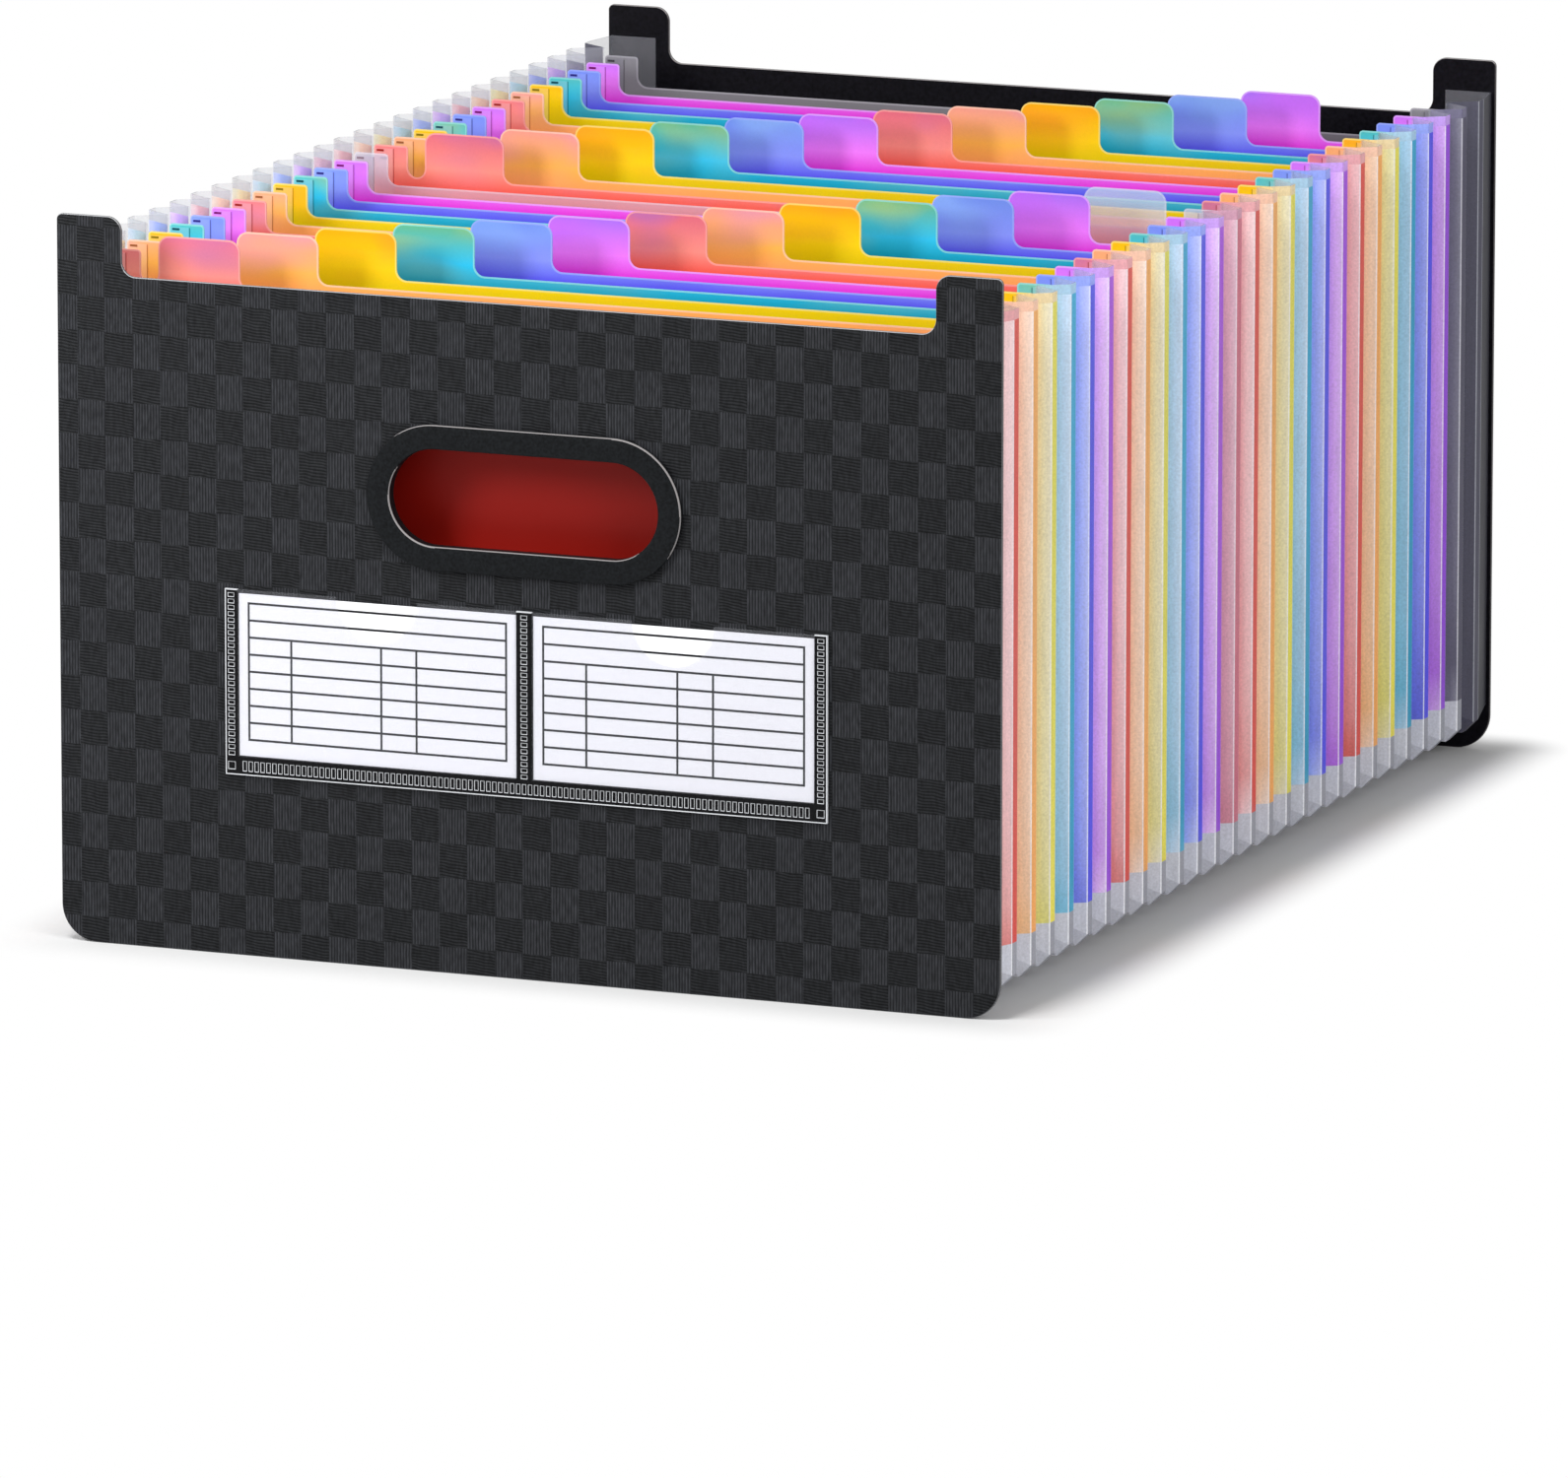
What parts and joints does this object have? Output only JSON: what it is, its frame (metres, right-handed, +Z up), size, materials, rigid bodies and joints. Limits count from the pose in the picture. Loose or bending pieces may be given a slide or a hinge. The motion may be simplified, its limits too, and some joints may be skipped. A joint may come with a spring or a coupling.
{
  "type": "accordion file organizer",
  "caption": "Free-standing expanding file: two stiff covers joined by a pleated film, with coloured tabbed dividers between them that close up together.",
  "frame": {"origin": "on the floor, under the centre of the file's outer box", "axes": "+Z up, front cover towards -Y, +X to the right as the front is looked at"},
  "size_m": [0.332, 0.4704, 0.2416],
  "materials": {
    "cover": "black sheet plastic embossed all over with a fine-lined checker",
    "cover_plain": "black sheet plastic with a fine plain grain",
    "handle": "moulded black plastic, satin with a fine grain",
    "label_film": "clear smooth film, welded at its edges",
    "card": "white uncoated card with a ruled form",
    "film": "frosted translucent film with sharp creases",
    "divider_red": "translucent frosted sheet plastic, red",
    "divider_peach": "translucent frosted sheet plastic, peach",
    "divider_yellow": "translucent frosted sheet plastic, yellow",
    "divider_teal": "translucent frosted sheet plastic, teal",
    "divider_blue": "translucent frosted sheet plastic, blue",
    "divider_purple": "translucent frosted sheet plastic, purple",
    "divider_clear": "translucent frosted sheet plastic, uncoloured",
    "divider_smoke": "translucent frosted sheet plastic, smoke grey"
  },
  "bodies": {
    "front_cover": {"front_cover": "cover", "handle_grip": "handle", "handle_ring": "handle", "label_pocket": "label_film", "label_card_left": "card", "label_card_right": "card", "pleated_film": "film"},
    "back_cover": {"back_cover": "cover_plain"},
    "divider_01": {"divider_01": "divider_red"},
    "divider_02": {"divider_02": "divider_peach"},
    "divider_03": {"divider_03": "divider_yellow"},
    "divider_04": {"divider_04": "divider_teal"},
    "divider_05": {"divider_05": "divider_blue"},
    "divider_06": {"divider_06": "divider_purple"},
    "divider_07": {"divider_07": "divider_red"},
    "divider_08": {"divider_08": "divider_peach"},
    "divider_09": {"divider_09": "divider_yellow"},
    "divider_10": {"divider_10": "divider_teal"},
    "divider_11": {"divider_11": "divider_blue"},
    "divider_12": {"divider_12": "divider_purple"},
    "divider_13": {"divider_13": "divider_clear"},
    "divider_14": {"divider_14": "divider_red"},
    "divider_15": {"divider_15": "divider_peach"},
    "divider_16": {"divider_16": "divider_yellow"},
    "divider_17": {"divider_17": "divider_teal"},
    "divider_18": {"divider_18": "divider_blue"},
    "divider_19": {"divider_19": "divider_purple"},
    "divider_20": {"divider_20": "divider_red"},
    "divider_21": {"divider_21": "divider_peach"},
    "divider_22": {"divider_22": "divider_yellow"},
    "divider_23": {"divider_23": "divider_teal"},
    "divider_24": {"divider_24": "divider_blue"},
    "divider_25": {"divider_25": "divider_purple"},
    "divider_26": {"divider_26": "divider_smoke"}
  },
  "joints": [
    {"name": "cover_slide", "type": "slide", "parent": "front_cover", "child": "back_cover", "axis": [0, -1, 0], "range_m": [0, 0.41656], "deforming": ["pleated_film"]},
    {"name": "divider_01_slide", "type": "slide", "parent": "front_cover", "child": "divider_01", "axis": [0, -1, 0], "range_m": [0, 0.01524]},
    {"name": "divider_02_slide", "type": "slide", "parent": "front_cover", "child": "divider_02", "axis": [0, -1, 0], "range_m": [0, 0.03038]},
    {"name": "divider_03_slide", "type": "slide", "parent": "front_cover", "child": "divider_03", "axis": [0, -1, 0], "range_m": [0, 0.04552]},
    {"name": "divider_04_slide", "type": "slide", "parent": "front_cover", "child": "divider_04", "axis": [0, -1, 0], "range_m": [0, 0.06066]},
    {"name": "divider_05_slide", "type": "slide", "parent": "front_cover", "child": "divider_05", "axis": [0, -1, 0], "range_m": [0, 0.0758]},
    {"name": "divider_06_slide", "type": "slide", "parent": "front_cover", "child": "divider_06", "axis": [0, -1, 0], "range_m": [0, 0.09094]},
    {"name": "divider_07_slide", "type": "slide", "parent": "front_cover", "child": "divider_07", "axis": [0, -1, 0], "range_m": [0, 0.10608]},
    {"name": "divider_08_slide", "type": "slide", "parent": "front_cover", "child": "divider_08", "axis": [0, -1, 0], "range_m": [0, 0.12122]},
    {"name": "divider_09_slide", "type": "slide", "parent": "front_cover", "child": "divider_09", "axis": [0, -1, 0], "range_m": [0, 0.13636]},
    {"name": "divider_10_slide", "type": "slide", "parent": "front_cover", "child": "divider_10", "axis": [0, -1, 0], "range_m": [0, 0.1515]},
    {"name": "divider_11_slide", "type": "slide", "parent": "front_cover", "child": "divider_11", "axis": [0, -1, 0], "range_m": [0, 0.16664]},
    {"name": "divider_12_slide", "type": "slide", "parent": "front_cover", "child": "divider_12", "axis": [0, -1, 0], "range_m": [0, 0.18178]},
    {"name": "divider_13_slide", "type": "slide", "parent": "front_cover", "child": "divider_13", "axis": [0, -1, 0], "range_m": [0, 0.19692]},
    {"name": "divider_14_slide", "type": "slide", "parent": "front_cover", "child": "divider_14", "axis": [0, -1, 0], "range_m": [0, 0.21206]},
    {"name": "divider_15_slide", "type": "slide", "parent": "front_cover", "child": "divider_15", "axis": [0, -1, 0], "range_m": [0, 0.2272]},
    {"name": "divider_16_slide", "type": "slide", "parent": "front_cover", "child": "divider_16", "axis": [0, -1, 0], "range_m": [0, 0.24234]},
    {"name": "divider_17_slide", "type": "slide", "parent": "front_cover", "child": "divider_17", "axis": [0, -1, 0], "range_m": [0, 0.25748]},
    {"name": "divider_18_slide", "type": "slide", "parent": "front_cover", "child": "divider_18", "axis": [0, -1, 0], "range_m": [0, 0.27262]},
    {"name": "divider_19_slide", "type": "slide", "parent": "front_cover", "child": "divider_19", "axis": [0, -1, 0], "range_m": [0, 0.28776]},
    {"name": "divider_20_slide", "type": "slide", "parent": "front_cover", "child": "divider_20", "axis": [0, -1, 0], "range_m": [0, 0.3029]},
    {"name": "divider_21_slide", "type": "slide", "parent": "front_cover", "child": "divider_21", "axis": [0, -1, 0], "range_m": [0, 0.31804]},
    {"name": "divider_22_slide", "type": "slide", "parent": "front_cover", "child": "divider_22", "axis": [0, -1, 0], "range_m": [0, 0.33318]},
    {"name": "divider_23_slide", "type": "slide", "parent": "front_cover", "child": "divider_23", "axis": [0, -1, 0], "range_m": [0, 0.34832]},
    {"name": "divider_24_slide", "type": "slide", "parent": "front_cover", "child": "divider_24", "axis": [0, -1, 0], "range_m": [0, 0.36346]},
    {"name": "divider_25_slide", "type": "slide", "parent": "front_cover", "child": "divider_25", "axis": [0, -1, 0], "range_m": [0, 0.3786]},
    {"name": "divider_26_slide", "type": "slide", "parent": "front_cover", "child": "divider_26", "axis": [0, -1, 0], "range_m": [0, 0.39374]}
  ],
  "couplings": [
    {"joint": "divider_01_slide", "follows": "cover_slide", "ratio": 0.036346},
    {"joint": "divider_02_slide", "follows": "cover_slide", "ratio": 0.072691},
    {"joint": "divider_03_slide", "follows": "cover_slide", "ratio": 0.10904},
    {"joint": "divider_04_slide", "follows": "cover_slide", "ratio": 0.14538},
    {"joint": "divider_05_slide", "follows": "cover_slide", "ratio": 0.18173},
    {"joint": "divider_06_slide", "follows": "cover_slide", "ratio": 0.21807},
    {"joint": "divider_07_slide", "follows": "cover_slide", "ratio": 0.25442},
    {"joint": "divider_08_slide", "follows": "cover_slide", "ratio": 0.29077},
    {"joint": "divider_09_slide", "follows": "cover_slide", "ratio": 0.32711},
    {"joint": "divider_10_slide", "follows": "cover_slide", "ratio": 0.36346},
    {"joint": "divider_11_slide", "follows": "cover_slide", "ratio": 0.3998},
    {"joint": "divider_12_slide", "follows": "cover_slide", "ratio": 0.43615},
    {"joint": "divider_13_slide", "follows": "cover_slide", "ratio": 0.47249},
    {"joint": "divider_14_slide", "follows": "cover_slide", "ratio": 0.50884},
    {"joint": "divider_15_slide", "follows": "cover_slide", "ratio": 0.54519},
    {"joint": "divider_16_slide", "follows": "cover_slide", "ratio": 0.58153},
    {"joint": "divider_17_slide", "follows": "cover_slide", "ratio": 0.61788},
    {"joint": "divider_18_slide", "follows": "cover_slide", "ratio": 0.65422},
    {"joint": "divider_19_slide", "follows": "cover_slide", "ratio": 0.69057},
    {"joint": "divider_20_slide", "follows": "cover_slide", "ratio": 0.72691},
    {"joint": "divider_21_slide", "follows": "cover_slide", "ratio": 0.76326},
    {"joint": "divider_22_slide", "follows": "cover_slide", "ratio": 0.79961},
    {"joint": "divider_23_slide", "follows": "cover_slide", "ratio": 0.83595},
    {"joint": "divider_24_slide", "follows": "cover_slide", "ratio": 0.8723},
    {"joint": "divider_25_slide", "follows": "cover_slide", "ratio": 0.90864},
    {"joint": "divider_26_slide", "follows": "cover_slide", "ratio": 0.94499}
  ]
}
